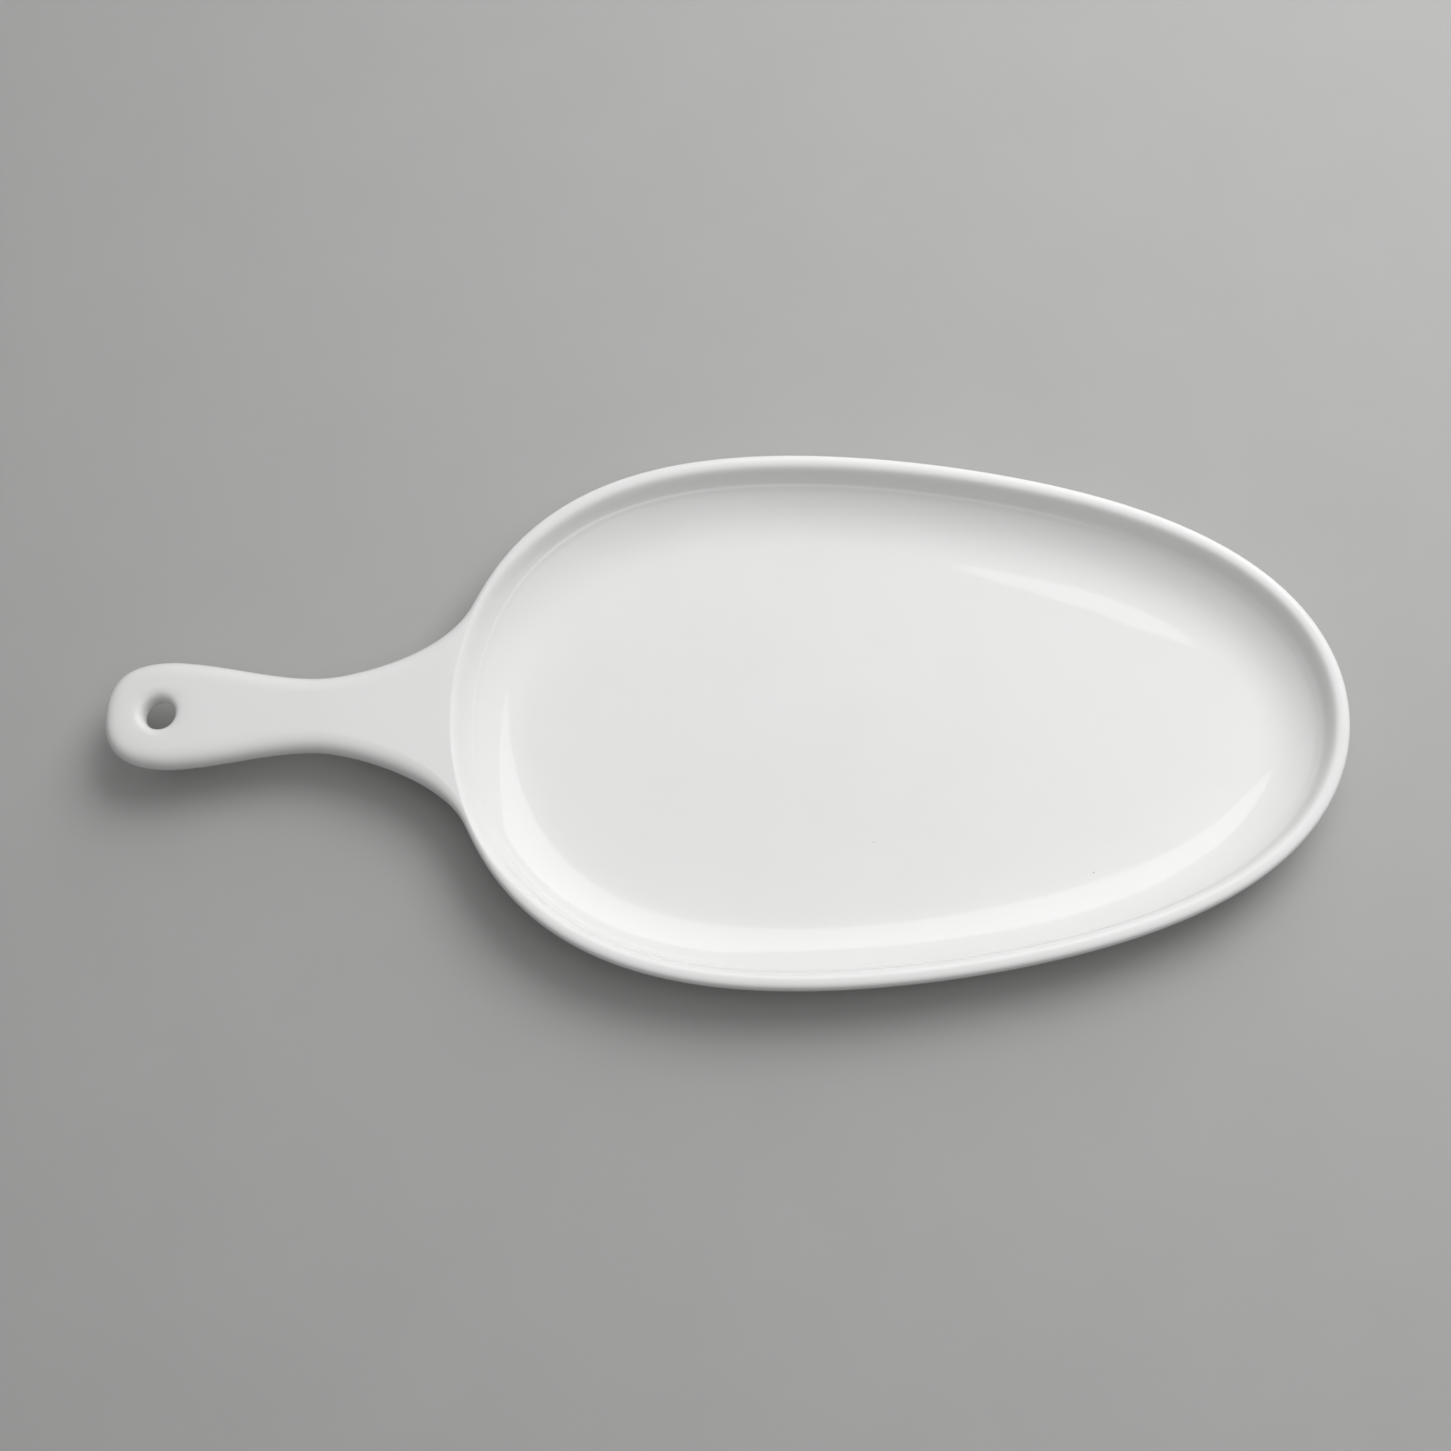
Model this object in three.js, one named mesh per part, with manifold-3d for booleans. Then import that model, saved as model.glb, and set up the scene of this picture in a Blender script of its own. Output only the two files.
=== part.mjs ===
// Paddle plate: an egg-shaped glazed dish, a flat waisted handle with a hanging hole, and a bare foot ring.
// Millimetres, +Z up. The handle points along -X, and the origin is on the table under the plate's middle.
import * as THREE from 'three';
import { mergeVertices } from 'three/addons/utils/BufferGeometryUtils.js';
import Module from 'manifold-3d';

// Driving dimensions of the dish, with insets measured inwards from the outer edge of the lip
const dishLength = 261.2;
const dishWidth = 162.6;
const eggTaper = 0.168;
const eggFullness = 0.19;
const rimHeight = 22;
const lipOuterReach = 1.5;
const lipOuterDrop = 2.2;
const lipFlat = 1.3;
const lipInnerReach = 2.4;
const lipInnerDrop = 3.8;
const innerWallDepth = 3.15;
const innerWallLean = 1.7;
const coveWidth = 17.4;
const coveTurnUp = 2.4;
const floorThickness = 4.7;
const undersideInset = 20;

// Driving dimensions of the foot ring
const footHeight = 2.8;
const footSetback = 2;
const footWidth = 4.4;
const footDraft = 0.8;

// Driving dimensions of the handle, with distances measured from its free end
const handleReach = 98.8;
const handleThickness = 9;
const handleEdgeRadius = 4.2;
const handleEdgeFlat = 0.6;
const gripWidth = 32.4;
const gripDistance = 18;
const neckWidth = 22.1;
const neckDistance = 60.5;
const rootWidth = 66;
const hangingHoleDiameter = 9;
const hangingHoleDistance = 16;
const hangingHoleEdgeRadius = 2;

// The slip joint between the handle and the dish
const slipGap = 0.3;

// How far each outline curve leans towards its ends, as shares of that curve's own span
const endRoundness = 0.53;
const gripRoundness = 0.82;
const waistEase = 0.32;
const flareEase = 0.25;
const flareRunOut = 0.7;
const outerWallDrop = 0.61;
const outerWallSweep = 0.45;

// How finely the round stretches are divided
const eggSteps = 96;
const lipQuarterSteps = 4;
const wallSteps = 7;
const coveSteps = 7;
const outlineSteps = 12;
const edgeSteps = 4;
const holeSteps = 32;
const searchSteps = 720;
const mergeTolerance = 1e-4;

const wasm = await Module();
wasm.setup();

const lipHeight = rimHeight - lipOuterDrop;
const lipInnerInset = lipOuterReach + lipFlat;
const wallTopHeight = rimHeight - lipInnerDrop;
const floorHeight = footHeight + floorThickness;
const creaseInset = lipInnerInset + lipInnerReach + innerWallLean;
const creaseHeight = wallTopHeight - innerWallDepth;

// The egg is an ellipse whose width changes along it, fuller towards the handle
function eggFactor(angle) {
  const along = Math.cos(angle);
  return Math.sin(angle) * (1 - eggTaper * along + eggFullness * along * along);
}

function widestEggFactor() {
  let widest = 0;
  for (let step = 0; step <= searchSteps; step += 1) {
    widest = Math.max(widest, eggFactor((Math.PI * step) / searchSteps));
  }
  return widest;
}

const eggHalfLength = dishLength / 2;
const eggSideScale = dishWidth / 2 / widestEggFactor();

function eggPoint(angle) {
  return new THREE.Vector2(eggHalfLength * Math.cos(angle), eggSideScale * eggFactor(angle));
}

// Direction of travel along the egg, anticlockwise seen from above
function eggTangent(angle) {
  const along = Math.cos(angle);
  const across = Math.sin(angle);
  const width = 1 - eggTaper * along + eggFullness * along * along;
  const widthChange = eggTaper * across - 2 * eggFullness * along * across;
  const sideways = eggSideScale * (along * width + across * widthChange);
  return new THREE.Vector2(-eggHalfLength * across, sideways).normalize();
}

// A point of the curve that runs parallel to the egg, a given distance inside it
function eggParallel(angle, inset) {
  const point = eggPoint(angle);
  const tangent = eggTangent(angle);
  return new THREE.Vector2(point.x - tangent.y * inset, point.y + tangent.x * inset);
}

// Angle on the handle end of the egg where it is as wide as a given half width, found by halving
function eggAngleAtHalfWidth(halfWidth) {
  let wide = Math.PI / 2;
  let narrow = Math.PI;
  while (narrow - wide > mergeTolerance / dishLength) {
    const middle = (wide + narrow) / 2;
    if (eggPoint(middle).y > halfWidth) {
      wide = middle;
    } else {
      narrow = middle;
    }
  }
  return narrow;
}

// Sweeps a section of (inset, height) points round the egg.
// A section with ends is closed by a flat floor at each end, and a looped one closes on itself.
function sweepRoundEgg(section, looped) {
  const positions = [];
  const faces = [];
  for (const { x: inset, y: height } of section) {
    for (let step = 0; step < eggSteps; step += 1) {
      const point = eggParallel((2 * Math.PI * step) / eggSteps, inset);
      positions.push(point.x, point.y, height);
    }
  }
  const rings = looped ? section.length : section.length - 1;
  for (let ring = 0; ring < rings; ring += 1) {
    const here = ring * eggSteps;
    const next = ((ring + 1) % section.length) * eggSteps;
    for (let step = 0; step < eggSteps; step += 1) {
      const after = (step + 1) % eggSteps;
      faces.push(here + step, here + after, next + after);
      faces.push(here + step, next + after, next + step);
    }
  }
  if (!looped) {
    const first = positions.length / 3;
    const last = first + 1;
    const lastRing = (section.length - 1) * eggSteps;
    positions.push(0, 0, section[0].y, 0, 0, section[section.length - 1].y);
    for (let step = 0; step < eggSteps; step += 1) {
      const after = (step + 1) % eggSteps;
      faces.push(first, after, step);
      faces.push(last, lastRing + step, lastRing + after);
    }
  }
  const geometry = new THREE.BufferGeometry();
  geometry.setAttribute('position', new THREE.Float32BufferAttribute(positions, 3));
  geometry.setIndex(faces);
  return geometry;
}

// A closed solid for cutting, without the faces that shrink to nothing on an axis
function solidFrom(geometry) {
  const bare = geometry.clone();
  bare.deleteAttribute('normal');
  bare.deleteAttribute('uv');
  const merged = mergeVertices(bare, mergeTolerance);
  const corners = merged.index.array;
  const kept = [];
  for (let face = 0; face < corners.length; face += 3) {
    const [a, b, c] = corners.slice(face, face + 3);
    if (a !== b && b !== c && c !== a) kept.push(a, b, c);
  }
  const vertProperties = new Float32Array(merged.attributes.position.array);
  const triVerts = new Uint32Array(kept);
  return new wasm.Manifold(new wasm.Mesh({ numProp: 3, vertProperties, triVerts }));
}

function geometryFrom(solid) {
  const { vertProperties, triVerts } = solid.getMesh();
  const geometry = new THREE.BufferGeometry();
  geometry.setAttribute('position', new THREE.Float32BufferAttribute(vertProperties, 3));
  geometry.setIndex(new THREE.Uint32BufferAttribute(triVerts, 1));
  return geometry;
}

function namedMesh(name, geometry, material) {
  const flatShaded = geometry.toNonIndexed();
  flatShaded.computeVertexNormals();
  const mesh = new THREE.Mesh(flatShaded, material);
  mesh.name = name;
  return mesh;
}

// Outside of the dish from the edge of its underside up to the crest of the lip, moved out by a clearance
function outerSection(clearance) {
  const wall = new THREE.CubicBezierCurve(
    new THREE.Vector2(undersideInset, footHeight),
    new THREE.Vector2(undersideInset * (1 - outerWallSweep), footHeight),
    new THREE.Vector2(0, lipHeight - (lipHeight - footHeight) * outerWallDrop),
    new THREE.Vector2(0, lipHeight),
  );
  const points = wall.getPoints(wallSteps).map((point) => new THREE.Vector2(point.x - clearance, point.y));
  const reach = lipOuterReach + clearance;
  const drop = lipOuterDrop + clearance;
  const lip = new THREE.EllipseCurve(lipOuterReach, lipHeight, reach, drop, Math.PI, Math.PI / 2, true);
  return points.concat(lip.getPoints(lipQuarterSteps).slice(1));
}

// Inside of the dish from the inner edge of the lip's level crest down to the edge of its flat floor.
// The lip rolls over into a wall that drops to a crease, and a cove levels out from there into the floor.
function innerSection() {
  const lip = new THREE.EllipseCurve(
    lipInnerInset, wallTopHeight, lipInnerReach, lipInnerDrop, Math.PI / 2, 0, true,
  );
  const points = lip.getPoints(lipQuarterSteps);
  for (let step = 0; step <= coveSteps; step += 1) {
    const share = step / coveSteps;
    const rise = (creaseHeight - floorHeight) * (1 - share) ** coveTurnUp;
    points.push(new THREE.Vector2(creaseInset + coveWidth * share, floorHeight + rise));
  }
  return points;
}

function makeDish(material) {
  return namedMesh('dish', sweepRoundEgg(outerSection(0).concat(innerSection()), false), material);
}

// The ring's top lies flat against the underside, and its sides draw in towards the standing face
function makeFootRing(material) {
  const outer = undersideInset + footSetback;
  const section = [
    new THREE.Vector2(outer, footHeight),
    new THREE.Vector2(outer + footWidth + 2 * footDraft, footHeight),
    new THREE.Vector2(outer + footWidth + footDraft, 0),
    new THREE.Vector2(outer + footDraft, 0),
  ];
  return namedMesh('foot_ring', sweepRoundEgg(section, true), material);
}

// Plan of the handle: round end, grip, neck and a flare that runs out along the egg, closed inside the dish
function handleOutline() {
  const endX = -eggHalfLength - handleReach;
  const grip = new THREE.Vector2(endX + gripDistance, gripWidth / 2);
  const neck = new THREE.Vector2(endX + neckDistance, neckWidth / 2);
  const rootAngle = eggAngleAtHalfWidth(rootWidth / 2);
  const root = eggPoint(rootAngle);
  const runOut = eggTangent(rootAngle).multiplyScalar(flareRunOut * (root.y - neck.y));
  const tuck = eggParallel(rootAngle, undersideInset);
  const roundX = grip.x - gripRoundness * gripDistance;
  const waistReach = waistEase * (neck.x - grip.x);
  const flareX = neck.x + flareEase * (root.x - neck.x);
  const upper = new THREE.Path();
  upper.moveTo(endX, 0);
  upper.bezierCurveTo(endX, endRoundness * grip.y, roundX, grip.y, grip.x, grip.y);
  upper.bezierCurveTo(grip.x + waistReach, grip.y, neck.x - waistReach, neck.y, neck.x, neck.y);
  upper.bezierCurveTo(flareX, neck.y, root.x + runOut.x, root.y + runOut.y, root.x, root.y);
  const side = upper.getPoints(outlineSteps).concat(tuck);
  const otherSide = side.slice(1).map((point) => new THREE.Vector2(point.x, -point.y));
  return new THREE.Shape(otherSide.reverse().concat(side));
}

// Straight bore with rounded edges at both faces of the handle
function hangingHoleTool(bottom, top) {
  const radius = hangingHoleDiameter / 2;
  const mouth = radius + hangingHoleEdgeRadius;
  const lowEdge = new THREE.ArcCurve(
    mouth, bottom + hangingHoleEdgeRadius, hangingHoleEdgeRadius, 1.5 * Math.PI, Math.PI, true,
  );
  const highEdge = new THREE.ArcCurve(
    mouth, top - hangingHoleEdgeRadius, hangingHoleEdgeRadius, Math.PI, Math.PI / 2, true,
  );
  const profile = [
    new THREE.Vector2(0, bottom - hangingHoleEdgeRadius),
    new THREE.Vector2(mouth, bottom - hangingHoleEdgeRadius),
    ...lowEdge.getPoints(edgeSteps),
    ...highEdge.getPoints(edgeSteps),
    new THREE.Vector2(mouth, top + hangingHoleEdgeRadius),
    new THREE.Vector2(0, top + hangingHoleEdgeRadius),
  ];
  const tool = new THREE.LatheGeometry(profile, holeSteps);
  tool.rotateX(Math.PI / 2);
  tool.translate(-eggHalfLength - handleReach + hangingHoleDistance, 0, 0);
  return tool;
}

// The flat top of the handle is level with the crest of the lip, and its root is scribed to the dish
function makeHandle(material) {
  const bottom = rimHeight - handleThickness;
  const edgeRadius = Math.min(handleEdgeRadius, (handleThickness - handleEdgeFlat) / 2);
  const blank = new THREE.ExtrudeGeometry(handleOutline(), {
    depth: handleThickness - 2 * edgeRadius,
    bevelThickness: edgeRadius,
    bevelSize: edgeRadius,
    bevelOffset: -edgeRadius,
    bevelSegments: edgeSteps,
    curveSegments: outlineSteps,
  });
  blank.translate(0, 0, bottom + edgeRadius);
  const dishEnvelope = sweepRoundEgg(outerSection(slipGap), false);
  const handle = solidFrom(blank)
    .subtract(solidFrom(dishEnvelope))
    .subtract(solidFrom(hangingHoleTool(bottom, rimHeight)));
  return namedMesh('handle', geometryFrom(handle), material);
}

const whiteGlaze = { color: 0xf1f0ed, roughness: 0.12, metalness: 0 };
const bareClay = { color: 0xd8d1c4, roughness: 0.85, metalness: 0 };

const plate = new THREE.Group();
plate.position.x = handleReach / 2;
plate.add(makeDish(new THREE.MeshStandardMaterial(whiteGlaze)));
plate.add(makeHandle(new THREE.MeshStandardMaterial(whiteGlaze)));
plate.add(makeFootRing(new THREE.MeshStandardMaterial(bareClay)));

export default plate;
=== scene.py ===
import math
import bmesh
import bpy
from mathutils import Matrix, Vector


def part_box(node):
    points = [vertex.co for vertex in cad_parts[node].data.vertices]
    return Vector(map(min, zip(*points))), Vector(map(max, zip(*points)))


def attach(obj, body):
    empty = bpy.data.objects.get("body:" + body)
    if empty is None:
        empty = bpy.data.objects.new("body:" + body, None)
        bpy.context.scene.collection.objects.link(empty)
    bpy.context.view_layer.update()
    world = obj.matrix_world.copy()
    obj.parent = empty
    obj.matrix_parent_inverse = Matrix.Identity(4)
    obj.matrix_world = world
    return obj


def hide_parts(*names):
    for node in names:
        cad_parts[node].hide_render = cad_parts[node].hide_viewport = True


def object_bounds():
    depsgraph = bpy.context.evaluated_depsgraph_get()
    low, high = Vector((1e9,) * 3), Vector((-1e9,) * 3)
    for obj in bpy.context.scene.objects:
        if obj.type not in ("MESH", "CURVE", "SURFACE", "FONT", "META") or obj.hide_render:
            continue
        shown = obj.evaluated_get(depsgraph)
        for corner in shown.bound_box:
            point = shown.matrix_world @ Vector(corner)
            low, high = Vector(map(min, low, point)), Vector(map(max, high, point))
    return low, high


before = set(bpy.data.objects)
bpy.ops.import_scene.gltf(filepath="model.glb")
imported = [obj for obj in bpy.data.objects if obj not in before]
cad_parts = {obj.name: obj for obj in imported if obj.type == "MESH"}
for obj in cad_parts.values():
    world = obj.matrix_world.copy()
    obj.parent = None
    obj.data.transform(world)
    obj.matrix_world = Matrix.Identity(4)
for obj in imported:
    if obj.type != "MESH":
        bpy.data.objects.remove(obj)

mm = 0.001
cadLow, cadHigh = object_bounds()
dishLow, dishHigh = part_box("dish")
handleLow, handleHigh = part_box("handle")
footLow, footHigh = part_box("foot_ring")


# curves and easing
def mix(a, b, share):
    return a + (b - a) * share


def smooth(share):
    share = min(max(share, 0.0), 1.0)
    return share * share * (3 - 2 * share)


def bezier(points, t):
    p0, p1, p2, p3 = points
    s = 1 - t
    return p0 * s ** 3 + p1 * 3 * s * s * t + p2 * 3 * s * t * t + p3 * t ** 3


def slope(points, t):
    step = 1e-3
    return (bezier(points, min(t + step, 1)) - bezier(points, max(t - step, 0))).normalized()


def arcRadius(radius, step):
    # a subdivided cage pulls in from its corners, so the cage arc is a little larger
    return radius * 3 / (2 + math.cos(step))


# cages in edit mode, where each point knows its column, row and handle ring
cageMarks = ("column", "row", "ring")
roundingLevels = 2


def clearSelection():
    if bpy.context.object and bpy.context.object.mode != "OBJECT":
        bpy.ops.object.mode_set(mode="OBJECT")
    bpy.ops.object.select_all(action="DESELECT")


def cageOf(piece):
    edit = bmesh.from_edit_mesh(piece.data)
    return edit, edit.verts.layers.int


def startRing(name, points):
    # a plain circle, whose points are placed afterwards
    clearSelection()
    bpy.ops.mesh.primitive_circle_add(vertices=points, radius=0.05, location=(0, 0, 0))
    piece = bpy.context.object
    piece.name = name
    bpy.ops.object.mode_set(mode="EDIT")
    bpy.ops.mesh.select_mode(type="VERT")
    edit, layers = cageOf(piece)
    for mark in cageMarks:
        layers.new(mark)
    edit.verts.ensure_lookup_table()
    columnOf = layers["column"]
    for i, vert in enumerate(edit.verts):
        vert[columnOf] = i
    bmesh.update_edit_mesh(piece.data)
    bpy.ops.mesh.select_all(action="SELECT")
    return piece


def selectOpenRow(piece, row):
    bpy.ops.mesh.select_all(action="DESELECT")
    edit, layers = cageOf(piece)
    rowOf = layers["row"]
    for vert in edit.verts:
        if vert[rowOf] == row and any(edge.is_boundary for edge in vert.link_edges):
            vert.select_set(True)
    edit.select_flush(True)
    bmesh.update_edit_mesh(piece.data)


def selectOpenEdges(piece, row=None):
    bpy.ops.mesh.select_mode(type="EDGE")
    bpy.ops.mesh.select_all(action="DESELECT")
    edit, layers = cageOf(piece)
    rowOf = layers["row"]
    for edge in edit.edges:
        if edge.is_boundary and (row is None or all(v[rowOf] == row for v in edge.verts)):
            edge.select_set(True)
    bmesh.update_edit_mesh(piece.data)


def selectFaces(piece, test):
    bpy.ops.mesh.select_mode(type="FACE")
    bpy.ops.mesh.select_all(action="DESELECT")
    edit, layers = cageOf(piece)
    marks = [layers[name] for name in cageMarks]
    for face in edit.faces:
        if test([[vert[mark] for mark in marks] for vert in face.verts]):
            face.select_set(True)
    bmesh.update_edit_mesh(piece.data)


def finishPiece(piece):
    # joins the two edges that are still open, then rounds the cage
    selectOpenEdges(piece)
    bpy.ops.mesh.bridge_edge_loops()
    bpy.ops.mesh.select_all(action="SELECT")
    bpy.ops.mesh.normals_make_consistent(inside=False)
    bpy.ops.object.mode_set(mode="OBJECT")
    clearSelection()
    piece.select_set(True)
    bpy.context.view_layer.objects.active = piece
    rounding = piece.modifiers.new("rounding", "SUBSURF")
    rounding.levels = roundingLevels
    rounding.render_levels = roundingLevels
    bpy.ops.object.modifier_apply(modifier=rounding.name)
    bpy.ops.object.shade_smooth()
    for mark in cageMarks:
        if mark in piece.data.attributes:
            piece.data.attributes.remove(piece.data.attributes[mark])
    print(piece.name + ":", len(piece.data.polygons), "faces")


# the egg-shaped dish
dishShape = {
    "columns": 96,                 # points round the rim
    "eggTaper": 0.168,             # fuller on the handle side
    "eggFullness": 0.19,
    "lipOuter": (1.5 * mm, 2.2 * mm),    # reach and drop of the lip's outer round
    "lipFlat": 1.3 * mm,           # level part of its crest
    "crestEase": 0.01 * mm,        # keeps the rounding under the rim's height
    "crestShare": 0.35,            # of its rise over the handle's top, kept where the handle runs in
    "crestColumns": 3,             # and eased back over this many columns
    "lipInner": (2.4 * mm, 3.8 * mm),    # its inner round is larger
    "lipEase": 1.4 * mm,           # the lip draws out this far where the handle runs in
    "lipEaseColumns": 5,
    "lipEaseRise": 1.4,            # how soon above the crease it is drawn out in full
    "innerWallDepth": 3.15 * mm,
    "innerWallLean": 1.7 * mm,
    "beadTop": 0.08 * mm,          # soft ledge where the wall meets the cove
    "beadWidth": 0.5 * mm,
    "beadDrop": 0.21 * mm,
    "beadFade": (0.25, 0.85),      # the ledge runs out towards the far end, by cosine of the angle
    "coveWidth": 17.4 * mm,
    "coveTurnUp": 2.4,             # how late the cove turns up
    "floorThickness": 4.7 * mm,
    "undersideInset": 20.0 * mm,
    "wallDrop": 0.61,
    "wallSweep": 0.45,
    # where the cage rings lie, from the underside over the lip to the floor
    "underInsets": (40, 31, 25),   # mm
    "outerWallSteps": (0.0, 0.18, 0.34, 0.48, 0.62),
    "rimSteps": {"rim5": 0.755, "rim4": 0.83, "rim3": 0.9},    # the handle grows out of the rim rows
    "lipOuterTurns": {"rim2": 0, "rim1": 45},
    "lipInnerTurns": (60, 30),     # stops short of upright and runs on into the wall
    "innerWallShares": (0.4, 0.75),
    "coveShares": (0.07, 0.13, 0.21, 0.33, 0.46, 0.6, 0.74, 0.87, 0.98),
    "floorInsets": (26.5, 29.5, 34, 40),    # mm
    "flatShrinks": (0.74, 0.66, 0.6, 0.5),
}
eggCentre = (dishLow.x + dishHigh.x) / 2
eggHalfLength = (dishHigh.x - dishLow.x) / 2
rimHeight = dishHigh.z
undersideHeight = dishLow.z


def eggFactor(angle):
    c = math.cos(angle)
    return math.sin(angle) * (1 - dishShape["eggTaper"] * c + dishShape["eggFullness"] * c * c)


eggSamples = 720
eggWidest = max(eggFactor(math.pi * i / eggSamples) for i in range(eggSamples + 1))
eggSide = (dishHigh.y - dishLow.y) / 2 / eggWidest


def eggPoint(angle, inset=0.0):
    step = 1e-4
    here = Vector((eggHalfLength * math.cos(angle), eggSide * eggFactor(angle)))
    ahead = Vector((eggHalfLength * math.cos(angle + step), eggSide * eggFactor(angle + step)))
    tangent = (ahead - here).normalized()
    inward = Vector((-tangent.y, tangent.x))
    return Vector((eggCentre, 0)) + here + inward * inset


def eggTangent(angle):
    step = 1e-4
    return (eggPoint(angle + step) - eggPoint(angle - step)).normalized()


# the dish's section as named cage rings, each with its inset from the rim and its height
def dishSection():
    shape = dishShape
    outerReach, outerDrop = shape["lipOuter"]
    innerReach, innerDrop = shape["lipInner"]
    lipHeight = rimHeight - outerDrop
    under = undersideHeight
    sweep = shape["undersideInset"]
    wall = [
        Vector((sweep, under)),
        Vector((sweep * (1 - shape["wallSweep"]), under)),
        Vector((0, lipHeight - shape["wallDrop"] * (lipHeight - under))),
        Vector((0, lipHeight)),
    ]
    crestHeight = rimHeight - shape["crestEase"]
    innerCrest = outerReach + shape["lipFlat"]
    wallTop = Vector((innerCrest + innerReach, rimHeight - innerDrop))
    crease = wallTop + Vector((shape["innerWallLean"], -shape["innerWallDepth"]))
    floorInset = crease.x + shape["coveWidth"]
    floorHeight = under + shape["floorThickness"]

    rings = []
    for inset in shape["underInsets"]:
        rings.append(("under", Vector((inset * mm, under))))
    for t in shape["outerWallSteps"]:
        rings.append(("outerWall", bezier(wall, t)))
    for name, t in shape["rimSteps"].items():
        rings.append((name, bezier(wall, t)))
    swell = arcRadius(1, math.pi / 4)    # its points are 45 degrees apart
    for name, turn in shape["lipOuterTurns"].items():
        way = math.radians(turn)
        reach, rise = outerReach * swell * math.cos(way), outerDrop * swell * math.sin(way)
        rings.append((name, Vector((outerReach - reach, lipHeight + rise))))
    rings.append(("rim0", Vector((outerReach, crestHeight))))
    rings.append(("lipIn", Vector((innerCrest, crestHeight))))
    swell = arcRadius(1, math.pi / 6)    # and here 30 degrees
    for turn in shape["lipInnerTurns"]:
        way = math.radians(turn)
        reach, drop = innerReach * swell * math.cos(way), innerDrop * (1 - swell * math.sin(way))
        rings.append(("lipIn", Vector((innerCrest + reach, rimHeight - drop))))
    for share in shape["innerWallShares"]:
        rings.append(("innerWall", wallTop.lerp(crease, share)))
    rings.append(("bead", crease + Vector((-shape["beadTop"], shape["beadTop"]))))
    rings.append(("bead", crease + Vector((shape["beadWidth"], -shape["beadDrop"]))))
    for share in shape["coveShares"]:
        rise = (crease.y - floorHeight) * (1 - share) ** shape["coveTurnUp"]
        rings.append(("cove", Vector((mix(crease.x, floorInset, share), floorHeight + rise))))
    for inset in shape["floorInsets"]:
        rings.append(("floor", Vector((inset * mm, floorHeight))))
    return rings


# the handle's outline seen from above, by distance from its free end
handleShape = {
    "gripWidth": 32.4 * mm,
    "gripDistance": 18.0 * mm,
    "neckWidth": 22.1 * mm,
    "neckDistance": 60.5 * mm,
    "endRoundness": 0.53,
    "gripRoundness": 0.82,
    "waistEase": 0.32,
    "flareEase": 0.25,
    "flareRunOut": 0.7,
    "topEase": 0.002 * mm,         # a hair under the solid's top
    "endFill": 0.15 * mm,          # makes up for what the rounding takes off the end
    "holeDiameter": 8.8 * mm,
    "holeDistance": 16.0 * mm,
    "holeEdgeRadius": 2.7 * mm,
    "holeRoll": (0.34, 0.22),      # cage corner of that edge, out and down
    # where the cage rings lie, from the rim to the free end
    "columns": 10,                 # strips across the handle
    "holeColumns": 2,              # strips that the hole takes on each side
    "edgeStrips": 5,               # strips over the round edge
    "rootRings": 5,                # rings that turn the rim's section into the handle's
    "flareSteps": (0.94, 0.86, 0.76, 0.65, 0.53, 0.4, 0.26, 0.13, 0.0),    # along its side
    "flareMiddles": (0.05, 0.16, 0.29, 0.42, 0.55, 0.69, 0.82, 0.92, 1.0),    # on its centre line
    "waistSteps": (0.86, 0.74, 0.62, 0.51, 0.41, 0.31, 0.21, 0.1),
    "neckMiddle": 2 * mm,          # from the neck towards the free end
    "waistMiddles": (9 * mm, 17 * mm),
    "holeApproach": 6 * mm,
}
handleEnd = handleLow.x
handleTop = handleHigh.z - handleShape["topEase"]
handleThickness = handleHigh.z - handleLow.z
edgeRadius = handleThickness / 2


def handleCurves(rootAngle):
    shape = handleShape
    grip = Vector((handleEnd + shape["gripDistance"], shape["gripWidth"] / 2))
    neck = Vector((handleEnd + shape["neckDistance"], shape["neckWidth"] / 2))
    tip = Vector((handleEnd, 0))
    root = eggPoint(rootAngle)
    gap = neck.x - grip.x
    flare = root.x - neck.x
    end = [
        tip,
        tip + Vector((0, shape["endRoundness"] * grip.y)),
        grip - Vector((shape["gripRoundness"] * shape["gripDistance"], 0)),
        grip,
    ]
    waist = [
        grip,
        grip + Vector((shape["waistEase"] * gap, 0)),
        neck - Vector((shape["waistEase"] * gap, 0)),
        neck,
    ]
    run = [
        neck,
        neck + Vector((shape["flareEase"] * flare, 0)),
        root + eggTangent(rootAngle) * shape["flareRunOut"] * (root.y - neck.y),
        root,
    ]
    return end, waist, run


sections = dishSection()
rowNames = [name for name, place in sections]
columns = dishShape["columns"]
middle = columns // 2              # the column on the handle's centre line
half = handleShape["columns"] // 2
strips = handleShape["edgeStrips"]
rimRows = [rowNames.index("rim" + str(i)) for i in range(strips + 1)]


def closeFlat(piece):
    # draws the selected ring in to a small one round the dish's middle and fills that
    for shrink in dishShape["flatShrinks"]:
        bpy.ops.mesh.extrude_region_move()
        edit, layers = cageOf(piece)
        rowOf = layers["row"]
        for vert in edit.verts:
            if vert.select:
                vert.co.x = eggCentre + (vert.co.x - eggCentre) * shrink
                vert.co.y *= shrink
                vert[rowOf] = -1
        bmesh.update_edit_mesh(piece.data)
    bpy.ops.mesh.fill_grid(span=columns // 4)


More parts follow.
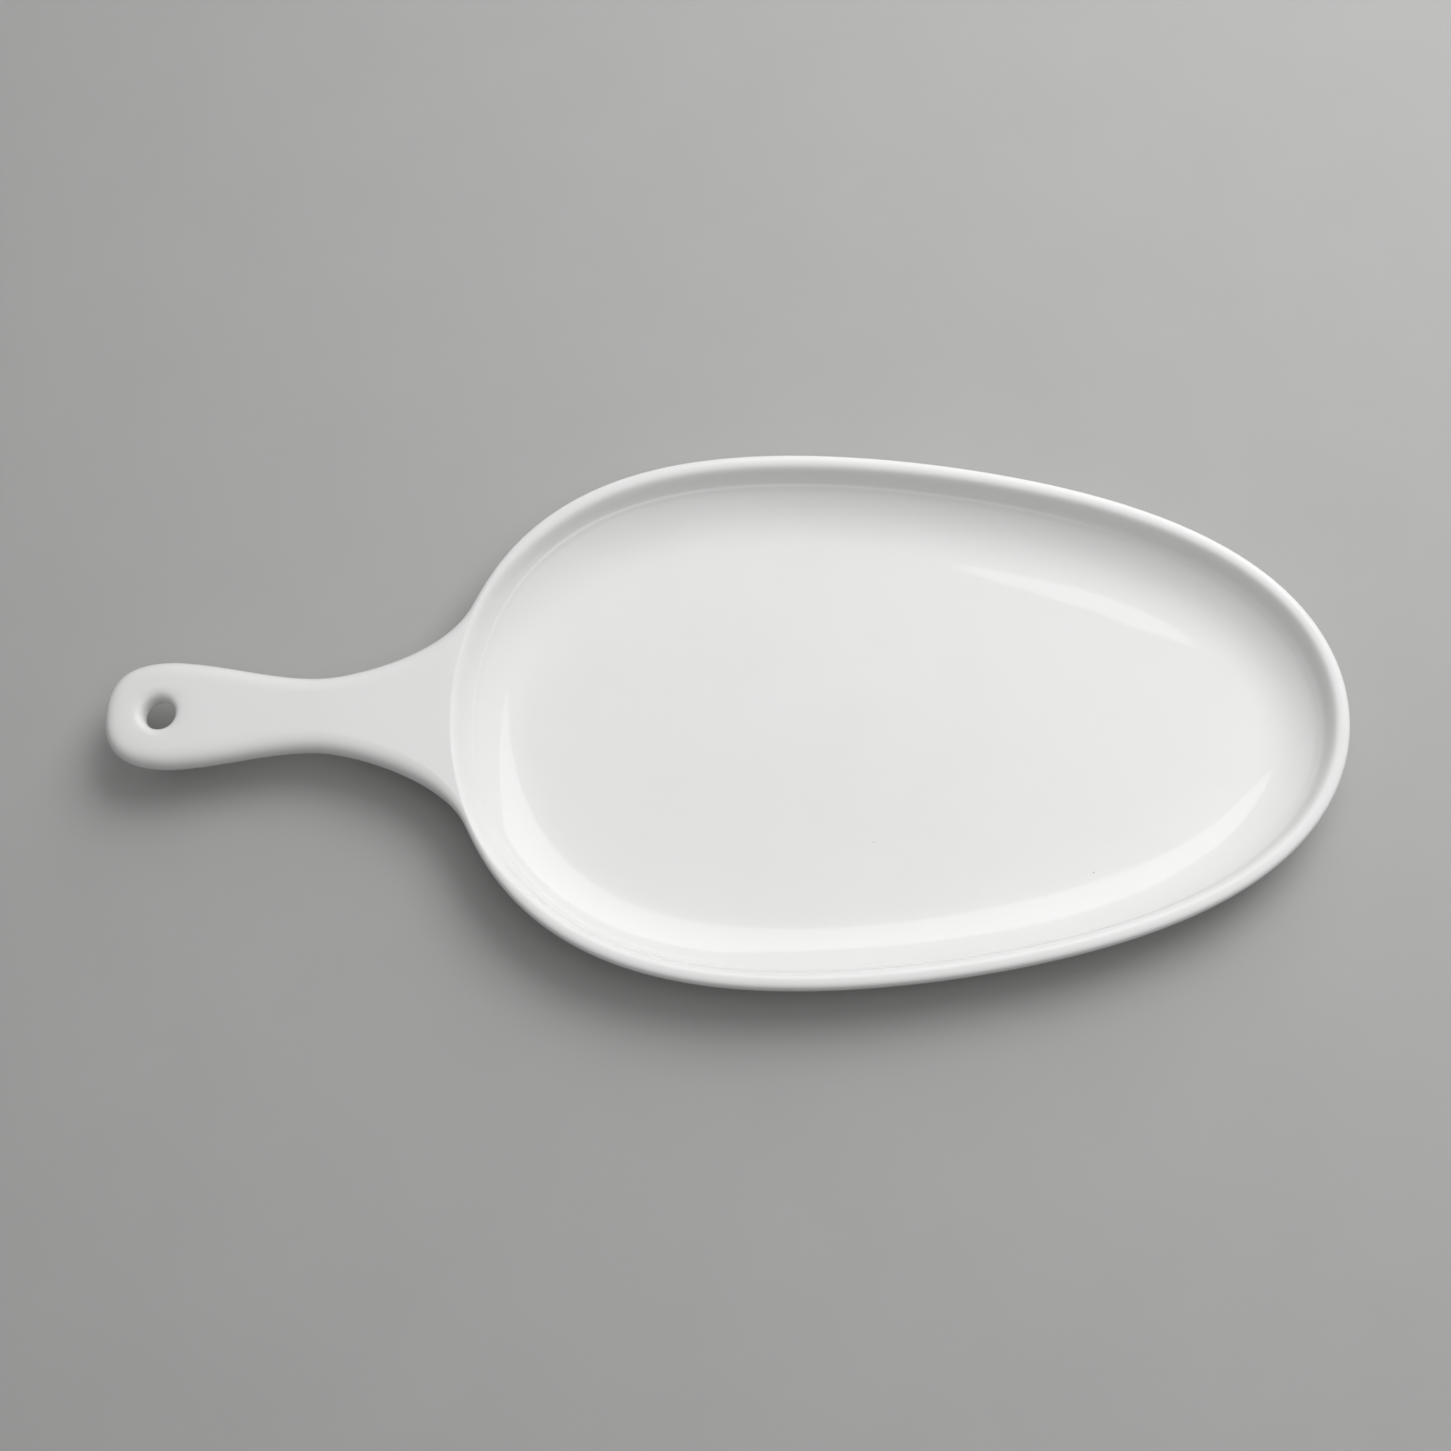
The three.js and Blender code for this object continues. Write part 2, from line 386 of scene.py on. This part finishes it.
def makeDish():
    shape = dishShape
    plate = startRing("glazedPlate", columns)
    creaseHeight = rimHeight - shape["lipInner"][1] - shape["innerWallDepth"]
    firstBead = rowNames.index("bead")

    def evenBead(row):
        # where a bead ring would lie without its ledge
        above, below = sections[firstBead - 1][1], sections[firstBead + 2][1]
        return above.lerp(below, (row - firstBead + 1) / 3)

    def fadeShare(angle):
        start, full = shape["beadFade"]
        return smooth((math.cos(angle) - start) / (full - start))

    def placeRing(row):
        edit, layers = cageOf(plate)
        columnOf, rowOf = layers["column"], layers["row"]
        name, place = sections[row]
        for vert in edit.verts:
            if vert.select:
                angle = 2 * math.pi * vert[columnOf] / columns
                inset, height = place
                if name == "bead":
                    inset, height = place.lerp(evenBead(row), fadeShare(angle))
                away = abs(vert[columnOf] - middle) - half
                ease = 0
                if name in ("lipIn", "innerWall"):
                    above = (height - creaseHeight) / (rimHeight - creaseHeight)
                    drawn = smooth(above * shape["lipEaseRise"])
                    ease = shape["lipEase"] * drawn * (1 - smooth(away / shape["lipEaseColumns"]))
                spot = eggPoint(angle, inset - ease)
                if name == "rim0":     # the crest runs level into the handle's top
                    level = handleTop + shape["crestShare"] * (place.y - handleTop)
                    height = mix(level, place.y, smooth(away / shape["crestColumns"]))
                vert.co = (spot.x, spot.y, height)
                vert[rowOf] = row
        bmesh.update_edit_mesh(plate.data)

    placeRing(0)
    for row in range(1, len(sections)):
        bpy.ops.mesh.extrude_region_move()
        placeRing(row)
    closeFlat(plate)
    selectOpenRow(plate, 0)
    closeFlat(plate)
    print("dish cage:", len(cageOf(plate)[0].verts), "points")
    return plate


# the handle is drawn out of the rim's outer faces
def drawHandle(plate):
    shape = handleShape
    dishRows = [sections[i][1] for i in rimRows]
    crest = dishRows[0]
    end, waist, run = handleCurves(math.pi - 2 * math.pi * half / columns)
    edgeMiddle = handleTop - edgeRadius
    cageEdge = arcRadius(edgeRadius, math.pi / strips)
    edgeRows = [Vector((0, edgeRadius))]
    for i in range(1, strips):
        way = math.radians(90 - 180 / strips * i)
        edgeRows.append(Vector((cageEdge * math.cos(way), cageEdge * math.sin(way))))
    edgeRows.append(Vector((0, -edgeRadius)))

    # where each ring sits on the side outline, and where on the centre line
    hole = handleEnd + shape["holeDistance"]
    holeStep = math.pi / 8         # sixteen points round the hole
    mouth = arcRadius(shape["holeDiameter"] / 2 + shape["holeEdgeRadius"], holeStep)
    crestMiddle = eggPoint(math.pi, crest.x).x
    neckMiddle = waist[3].x - shape["neckMiddle"]
    stops = []
    for t, share in zip(shape["flareSteps"], shape["flareMiddles"]):
        stops.append((bezier(run, t), slope(run, t), mix(crestMiddle, neckMiddle, share)))
    holeRows = [hole + mouth, hole + mouth / 2, hole, hole - mouth / 2, hole - mouth]
    middles = [neckMiddle - back for back in shape["waistMiddles"]]
    middles += [hole + mouth + shape["holeApproach"]] + holeRows
    for t, middleX in zip(shape["waistSteps"], middles):
        stops.append((bezier(waist, t), slope(waist, t), middleX))
    lastRing = len(stops) + 1
    holeFirst = lastRing - len(holeRows)
    holeLast = lastRing - 1
    corner = shape["holeColumns"]

    def onSide(spot, column):
        return Vector((spot.x, math.copysign(spot.y, column) if column else 0.0))

    def topSpot(ring, column):
        # a point of the handle's flat top, column counted from the centre line
        across = abs(column)
        share = across / half
        if ring == lastRing:
            spot, way = bezier(end, share), slope(end, share)
            inward = Vector((way.y, -way.x)).normalized()
            spot = spot + inward * (edgeRadius - shape["endFill"])
            return onSide(spot, column), onSide(-inward, column)
        outline, way, middleX = stops[ring - 1]
        outward = Vector((-way.y, way.x)).normalized()
        if outward.y < 0:
            outward = -outward
        side = outline - outward * mix(crest.x, edgeRadius, smooth(ring / shape["rootRings"]))
        spot = Vector((side.x - (side.x - middleX) * (1 - share * share), side.y * share))
        if holeFirst <= ring <= holeLast:
            # the rings part round the hole's mouth
            turn = (corner + ring - holeFirst) * holeStep
            if ring == holeFirst:
                turn = min(across, corner) * holeStep
            if ring == holeLast:
                turn = math.pi - min(across, corner) * holeStep
            if across >= corner or ring in (holeFirst, holeLast):
                start = Vector((hole + mouth * math.cos(turn), mouth * math.sin(turn)))
                spot = start.lerp(side, max(across - corner, 0) / (half - corner))
        way = outward if column >= 0 else Vector((outward.x, -outward.y))
        return onSide(spot, column), way

    def placeHandle(ring):
        edit, layers = cageOf(plate)
        columnOf, rowOf, ringOf = (layers[name] for name in cageMarks)
        eased = smooth(ring / shape["rootRings"])
        for vert in edit.verts:
            if vert.select:
                step = rimRows.index(vert[rowOf])
                spot, outward = topSpot(ring, middle - vert[columnOf])
                reach, rise = edgeRows[step]
                if ring < lastRing:
                    reach = mix(crest.x - dishRows[step].x, reach, eased)
                    rise = mix(dishRows[step].y - edgeMiddle, rise, eased)
                if step == 0:
                    rise = edgeRadius
                if step == strips:
                    rise = -edgeRadius
                x, y = spot.x + outward.x * reach, spot.y + outward.y * reach
                vert.co = (x, y, edgeMiddle + rise)
                vert[ringOf] = ring
        bmesh.update_edit_mesh(plate.data)

    def rootFace(corners):
        return all(abs(column - middle) <= half and row in rimRows and ring == 0
                   for column, row, ring in corners)

    selectFaces(plate, rootFace)
    for ring in range(1, lastRing + 1):
        bpy.ops.mesh.extrude_region_move()
        placeHandle(ring)

    # the hanging hole: open both faces and roll their edges in
    flats = (rimRows[0], rimRows[-1])

    def holeFace(corners):
        flat = corners[0][1]
        return flat in flats and all(
            abs(column - middle) <= corner and row == flat and holeFirst <= ring <= holeLast
            for column, row, ring in corners)

    selectFaces(plate, holeFace)
    bpy.ops.mesh.delete(type="FACE")
    throat = arcRadius(shape["holeDiameter"] / 2, holeStep)
    roll = shape["holeEdgeRadius"]
    rollOut, rollDown = shape["holeRoll"]
    faces = ((flats[0], handleTop, -1), (flats[1], handleTop - handleThickness, 1))
    for flat, face, inward in faces:
        selectOpenEdges(plate, flat)
        for radius, drop in ((throat + rollOut * roll, rollDown * roll), (throat, roll)):
            bpy.ops.mesh.extrude_region_move()
            edit = bmesh.from_edit_mesh(plate.data)
            for vert in edit.verts:
                if vert.select:
                    away = Vector((vert.co.x - hole, vert.co.y)).normalized()
                    vert.co = (hole + away.x * radius, away.y * radius, face + inward * drop)
            bmesh.update_edit_mesh(plate.data)


def makePlate():
    plate = makeDish()
    drawHandle(plate)
    finishPiece(plate)
    return plate


# the unglazed foot ring under the dish
footShape = {
    "setback": 2.0 * mm,           # from the edge of the flat underside
    "width": 4.4 * mm,             # of the standing face
    "draft": 0.8 * mm,
    "edge": 0.7 * mm,              # wiped edge
    "root": 0.9 * mm,              # glaze fillet against the underside
    "bite": 0.25 * mm,             # how far it reaches into the glaze of the underside
    "seam": 0.1 * mm,
}


def makeFoot():
    shape = footShape
    outer = dishShape["undersideInset"] + shape["setback"]
    inner = outer + shape["width"] + 2 * shape["draft"]
    top, low = footHigh.z, footLow.z
    draft, edge, root = shape["draft"], shape["edge"], shape["root"]
    # one side of the section from the fillet down to the standing face, the other mirrors it,
    # in shares of the fillet, the draft and the wiped edge
    side = [
        (-0.6 * root, top + shape["bite"]),
        (-0.45 * root, top - shape["seam"]),
        (0.1 * draft, top - root),
        (0.75 * draft, low + 1.1 * edge),
        (draft, low + 0.25 * edge),
        (draft + 0.8 * edge, low),
    ]
    rings = [(outer + step, height) for step, height in side]
    rings += [(inner - step, height) for step, height in reversed(side)]
    foot = startRing("bareFoot", columns)
    for row, (inset, height) in enumerate(rings):
        if row:
            bpy.ops.mesh.extrude_region_move()
        edit, layers = cageOf(foot)
        columnOf, rowOf = layers["column"], layers["row"]
        for vert in edit.verts:
            if vert.select:
                spot = eggPoint(2 * math.pi * vert[columnOf] / columns, inset)
                vert.co = (spot.x, spot.y, height)
                vert[rowOf] = row
        bmesh.update_edit_mesh(foot.data)
    finishPiece(foot)
    return foot


plate = makePlate()
foot = makeFoot()


# nodes that more than one material uses
def newMaterial(name):
    material = bpy.data.materials.new(name)
    material.use_nodes = True
    nodes = material.node_tree.nodes
    shader = next(n for n in nodes if n.type == "BSDF_PRINCIPLED")
    return material, nodes, material.node_tree.links, shader


def noise(nodes, links, place, scale, detail):
    cloud = nodes.new("ShaderNodeTexNoise")
    cloud.inputs["Scale"].default_value = scale
    cloud.inputs["Detail"].default_value = detail
    links.new(place.outputs["Object"], cloud.inputs["Vector"])
    return cloud.outputs["Fac"]


def remap(nodes, links, source, low, high, toLow=0.0, toHigh=1.0):
    spread = nodes.new("ShaderNodeMapRange")
    spread.interpolation_type = "SMOOTHSTEP"
    spread.inputs["From Min"].default_value = low
    spread.inputs["From Max"].default_value = high
    spread.inputs["To Min"].default_value = toLow
    spread.inputs["To Max"].default_value = toHigh
    links.new(source, spread.inputs["Value"])
    return spread.outputs["Result"]


def blend(nodes, links, share, first, second):
    tint = nodes.new("ShaderNodeMix")
    tint.data_type = "RGBA"
    for socket, value in (("A", first), ("B", second)):
        if isinstance(value, tuple):
            tint.inputs[socket].default_value = value
        else:
            links.new(value, tint.inputs[socket])
    links.new(share, tint.inputs["Factor"])
    return tint.outputs["Result"]


def combine(nodes, links, operation, first, second):
    maths = nodes.new("ShaderNodeMath")
    maths.operation = operation
    links.new(first, maths.inputs[0])
    links.new(second, maths.inputs[1])
    return maths.outputs["Value"]


def bump(nodes, links, height, distance, under=None):
    relief = nodes.new("ShaderNodeBump")
    relief.inputs["Strength"].default_value = 1
    relief.inputs["Distance"].default_value = distance
    links.new(height, relief.inputs["Height"])
    if under:
        links.new(under, relief.inputs["Normal"])
    return relief.outputs["Normal"]


# the white glaze
glazeLook = {
    "white": (0.856, 0.854, 0.849, 1),
    "thin": (0.838, 0.834, 0.822, 1),    # where it ran thinner
    "thinMost": 0.5,
    "cloudScale": 45,
    "cloudDetail": 3,
    "cloudRange": (0.4, 0.75),
    "speck": (0.46, 0.42, 0.37, 1),
    "speckScale": 95,
    "speckSize": 0.03,
    "speckCore": 0.45,             # share of a speck that has its full tint
    "speckShare": 0.1,             # of the cells that hold one
    "speckFaint": 0.9,             # beyond this part of that share they fade out
    "filmScale": 160,
    "filmDetail": 4,
    "filmRange": (0.35, 0.7),
    "roughLow": 0.012,
    "roughHigh": 0.03,
    "ior": 1.5,
    "swellScale": 32,
    "swellDetail": 1,
    "swellHeight": 0.07 * mm,
    "peelScale": 240,
    "peelDetail": 2,
    "peelHeight": 0.001 * mm,
}


def specks(nodes, links, place):
    # sparse round dots: cells of a voronoi, only some of them with a dot in
    look = glazeLook
    cells = nodes.new("ShaderNodeTexVoronoi")
    cells.inputs["Scale"].default_value = look["speckScale"]
    links.new(place.outputs["Object"], cells.inputs["Vector"])
    pick = nodes.new("ShaderNodeSeparateColor")
    links.new(cells.outputs["Color"], pick.inputs["Color"])
    share, size = look["speckShare"], look["speckSize"]
    chosen = remap(nodes, links, pick.outputs["Red"], share, share * look["speckFaint"])
    dot = remap(nodes, links, cells.outputs["Distance"], size, size * look["speckCore"])
    return combine(nodes, links, "MULTIPLY", chosen, dot)


# what the poured glaze does anywhere on the plate: its tint, film and unevenness
def makeGlazeGroup():
    look = glazeLook
    group = bpy.data.node_groups.new("pouredGlaze", "ShaderNodeTree")
    for name in ("White", "Thin", "Speck"):
        group.interface.new_socket(name, in_out="INPUT", socket_type="NodeSocketColor")
    group.interface.new_socket("Color", in_out="OUTPUT", socket_type="NodeSocketColor")
    for name in ("Roughness", "Swell", "Peel"):
        group.interface.new_socket(name, in_out="OUTPUT", socket_type="NodeSocketFloat")
    nodes, links = group.nodes, group.links
    given = nodes.new("NodeGroupInput")
    result = nodes.new("NodeGroupOutput")
    place = nodes.new("ShaderNodeTexCoord")
    cloud = noise(nodes, links, place, look["cloudScale"], look["cloudDetail"])
    thinness = remap(nodes, links, cloud, *look["cloudRange"], 0, look["thinMost"])
    colour = blend(nodes, links, thinness, given.outputs["White"], given.outputs["Thin"])
    # a few faint iron specks in the body
    dots = specks(nodes, links, place)
    links.new(blend(nodes, links, dots, colour, given.outputs["Speck"]), result.inputs["Color"])
    film = noise(nodes, links, place, look["filmScale"], look["filmDetail"])
    rough = remap(nodes, links, film, *look["filmRange"], look["roughLow"], look["roughHigh"])
    links.new(rough, result.inputs["Roughness"])
    swell = noise(nodes, links, place, look["swellScale"], look["swellDetail"])
    links.new(swell, result.inputs["Swell"])
    peel = noise(nodes, links, place, look["peelScale"], look["peelDetail"])
    links.new(peel, result.inputs["Peel"])
    return group


glazeGroup = makeGlazeGroup()


def pourGlaze(nodes):
    glaze = nodes.new("ShaderNodeGroup")
    glaze.node_tree = glazeGroup
    for name, value in (("White", "white"), ("Thin", "thin"), ("Speck", "speck")):
        glaze.inputs[name].default_value = glazeLook[value]
    return glaze


def makeGlaze():
    look = glazeLook
    material, nodes, links, shader = newMaterial("whiteGlaze")
    glaze = pourGlaze(nodes)
    links.new(glaze.outputs["Color"], shader.inputs["Base Color"])
    links.new(glaze.outputs["Roughness"], shader.inputs["Roughness"])
    shader.inputs["IOR"].default_value = look["ior"]
    # the poured glaze is never quite level
    level = bump(nodes, links, glaze.outputs["Swell"], look["swellHeight"])
    skin = bump(nodes, links, glaze.outputs["Peel"], look["peelHeight"], level)
    links.new(skin, shader.inputs["Normal"])
    return material


# the bare clay of the foot
clayLook = {
    "clay": (0.7, 0.655, 0.57, 1),
    "shade": (0.56, 0.5, 0.41, 1),
    "grainScale": 900,
    "grainDetail": 4,
    "grainHeight": 0.05 * mm,
    "rough": 0.85,
    "glazedRough": 0.06,
    "glazeLine": 1.6 * mm,         # above the table, where the glaze was wiped off
    "glazeSoft": 0.15 * mm,
    "glazeWander": 0.7 * mm,
    "wanderScale": 70,
    "wanderDetail": 2,
    "wanderRange": (0.3, 0.7),
}


def makeClay():
    look = clayLook
    material, nodes, links, shader = newMaterial("bareClay")
    place = nodes.new("ShaderNodeTexCoord")
    grain = noise(nodes, links, place, look["grainScale"], look["grainDetail"])
    clay = blend(nodes, links, grain, look["clay"], look["shade"])
    # the ring's sides keep their glaze down to a wandering line
    height = nodes.new("ShaderNodeSeparateXYZ")
    links.new(place.outputs["Object"], height.inputs["Vector"])
    wander = noise(nodes, links, place, look["wanderScale"], look["wanderDetail"])
    swing = look["glazeWander"] / 2
    shift = remap(nodes, links, wander, *look["wanderRange"], -swing, swing)
    level = combine(nodes, links, "ADD", height.outputs["Z"], shift)
    line, soft = look["glazeLine"], look["glazeSoft"]
    glazed = remap(nodes, links, level, line - soft, line + soft)
    glaze = pourGlaze(nodes)
    colour = blend(nodes, links, glazed, clay, glaze.outputs["Color"])
    links.new(colour, shader.inputs["Base Color"])
    rough = remap(nodes, links, glazed, 0, 1, look["rough"], look["glazedRough"])
    links.new(rough, shader.inputs["Roughness"])
    bare = remap(nodes, links, glazed, 0, 1, 1, 0)
    relief = combine(nodes, links, "MULTIPLY", grain, bare)
    links.new(bump(nodes, links, relief, look["grainHeight"]), shader.inputs["Normal"])
    return material


plate.data.materials.append(makeGlaze())
foot.data.materials.append(makeClay())
pieces = (
    (plate, "white_glaze", ("dish", "handle")),
    (foot, "bare_clay", ("foot_ring",)),
)
for piece, slot, nodes in pieces:
    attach(piece, "root")
    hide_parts(*nodes)
print("materials:", ", ".join(piece.data.materials[0].name for piece, slot, nodes in pieces))


# studio
studio = {
    "floorSize": 12.0,
    "floorColour": (0.46, 0.46, 0.456, 1),
    "floorShade": 0.95,            # the darker parts of its grain
    "floorGrainScale": 35,
    "floorGrainDetail": 5,
    "floorRough": 0.9,
    "floorSpecular": 0.1,
    "floorFade": (0.3, 1.3),       # over this distance the floor runs into the backdrop
    "backdrop": 0.62,
    "softboxSize": (0.866, 1.04),
    "softboxDistance": 1.05,
    "softboxAzimuth": 70.4,        # from +X towards +Y
    "softboxZenith": 52.2,
    "softboxOffset": 0.09,         # aimed beside the dish, towards its far end
    "softboxRadiance": 1.5,
    "keyPower": 3.3,
    "keySize": 0.6,
    "keyDistance": 0.9,
    "keyAzimuth": 48,
    "keyZenith": 32,
    "topPower": 6.2,
    "topSize": 1.5,
    "topHeight": 1.3,
    "topOffset": 0.2,              # towards the dish's far end
    "fill": 0.14,
}


def seenDirectly(nodes, links):
    # 1 for rays from the camera and for what the glaze mirrors
    path = nodes.new("ShaderNodeLightPath")
    camera, glossy = path.outputs["Is Camera Ray"], path.outputs["Is Glossy Ray"]
    return combine(nodes, links, "MAXIMUM", camera, glossy)


def mixShaders(nodes, links, share, first, second):
    mixed = nodes.new("ShaderNodeMixShader")
    links.new(share, mixed.inputs["Fac"])
    links.new(first, mixed.inputs[1])
    links.new(second, mixed.inputs[2])
    return mixed.outputs["Shader"]


def makeFloor():
    clearSelection()
    bpy.ops.mesh.primitive_plane_add(size=studio["floorSize"], location=(0, 0, cadLow.z))
    floor = bpy.context.object
    floor.name = "studioFloor"
    material, nodes, links, shader = newMaterial("paleFloor")
    place = nodes.new("ShaderNodeTexCoord")
    grain = noise(nodes, links, place, studio["floorGrainScale"], studio["floorGrainDetail"])
    colour = studio["floorColour"]
    shade = tuple(c * studio["floorShade"] for c in colour[:3]) + (1,)
    links.new(blend(nodes, links, grain, colour, shade), shader.inputs["Base Color"])
    shader.inputs["Roughness"].default_value = studio["floorRough"]
    shader.inputs["Specular IOR Level"].default_value = studio["floorSpecular"]
    # far off it turns into the backdrop, and from below it is clear
    away = nodes.new("ShaderNodeVectorMath")
    away.operation = "LENGTH"
    links.new(place.outputs["Object"], away.inputs[0])
    far = remap(nodes, links, away.outputs["Value"], *studio["floorFade"])
    share = combine(nodes, links, "MULTIPLY", far, seenDirectly(nodes, links))
    backdrop = nodes.new("ShaderNodeEmission")
    backdrop.inputs["Strength"].default_value = studio["backdrop"]
    run = mixShaders(nodes, links, share, shader.outputs["BSDF"], backdrop.outputs["Emission"])
    side = nodes.new("ShaderNodeNewGeometry").outputs["Backfacing"]
    clear = nodes.new("ShaderNodeBsdfTransparent").outputs["BSDF"]
    output = next(n for n in nodes if n.type == "OUTPUT_MATERIAL")
    links.new(mixShaders(nodes, links, side, run, clear), output.inputs["Surface"])
    floor.data.materials.append(material)


def aimed(name, target):
    # where a lamp stands and how it is turned
    a, z = math.radians(studio[name + "Azimuth"]), math.radians(studio[name + "Zenith"])
    way = Vector((math.sin(z) * math.cos(a), math.sin(z) * math.sin(a), math.cos(z)))
    return target + way * studio[name + "Distance"], (-way).to_track_quat("-Z", "Y").to_euler()


def addLamp(name, shape, size, power, spot, turn=(0, 0, 0)):
    bpy.ops.object.light_add(type="AREA", location=spot, rotation=turn)
    lamp = bpy.context.object
    lamp.name = name
    lamp.data.shape = shape
    lamp.data.size = size
    lamp.data.energy = power
    return lamp


def makeLamps():
    target = Vector((eggCentre, 0, rimHeight / 2))
    wide, tall = studio["softboxSize"]
    across = math.radians(studio["softboxAzimuth"])
    beside = Vector((math.sin(across), -math.cos(across), 0)) * studio["softboxOffset"]
    spot, turn = aimed("softbox", target + beside)
    power = studio["softboxRadiance"] * math.pi * wide * tall
    softbox = addLamp("softbox", "RECTANGLE", wide, power, spot, turn)
    softbox.data.size_y = tall
    # the other two only light, the glaze doesn't mirror them
    spot, turn = aimed("key", target)
    key = addLamp("key", "DISK", studio["keySize"], studio["keyPower"], spot, turn)
    key.visible_glossy = False
    spot = (eggCentre + studio["topOffset"], 0, studio["topHeight"])
    top = addLamp("topFill", "DISK", studio["topSize"], studio["topPower"], spot)
    top.visible_glossy = False


def makeWorld():
    world = bpy.data.worlds.new("studio")
    bpy.context.scene.world = world
    world.use_nodes = True
    nodes, links = world.node_tree.nodes, world.node_tree.links
    back = next(n for n in nodes if n.type == "BACKGROUND")
    back.inputs["Color"].default_value = (1, 1, 1, 1)
    level = nodes.new("ShaderNodeMapRange")
    level.inputs["To Min"].default_value = studio["fill"]
    level.inputs["To Max"].default_value = studio["backdrop"]
    links.new(seenDirectly(nodes, links), level.inputs["Value"])
    links.new(level.outputs["Result"], back.inputs["Strength"])


# the photo's view, fitted to the plate's outline
photoView = {
    "spot": (-0.00078, -0.1836, 0.5726),
    "target": (-0.000313, -0.004037, 0.020),
    "sensorWidth": 36,
    "lens": 50,
}


def makeCamera():
    spot, target = Vector(photoView["spot"]), Vector(photoView["target"])
    turn = (target - spot).to_track_quat("-Z", "Y").to_euler()
    bpy.ops.object.camera_add(location=spot, rotation=turn)
    camera = bpy.context.object
    camera.name = "photoCamera"
    camera.data.sensor_fit = "HORIZONTAL"
    camera.data.sensor_width = photoView["sensorWidth"]
    camera.data.lens = photoView["lens"]
    bpy.context.scene.camera = camera


makeFloor()
makeLamps()
makeWorld()
makeCamera()
bpy.context.scene.view_settings.view_transform = "Standard"
print("studio: floor, lamps, backdrop and camera")
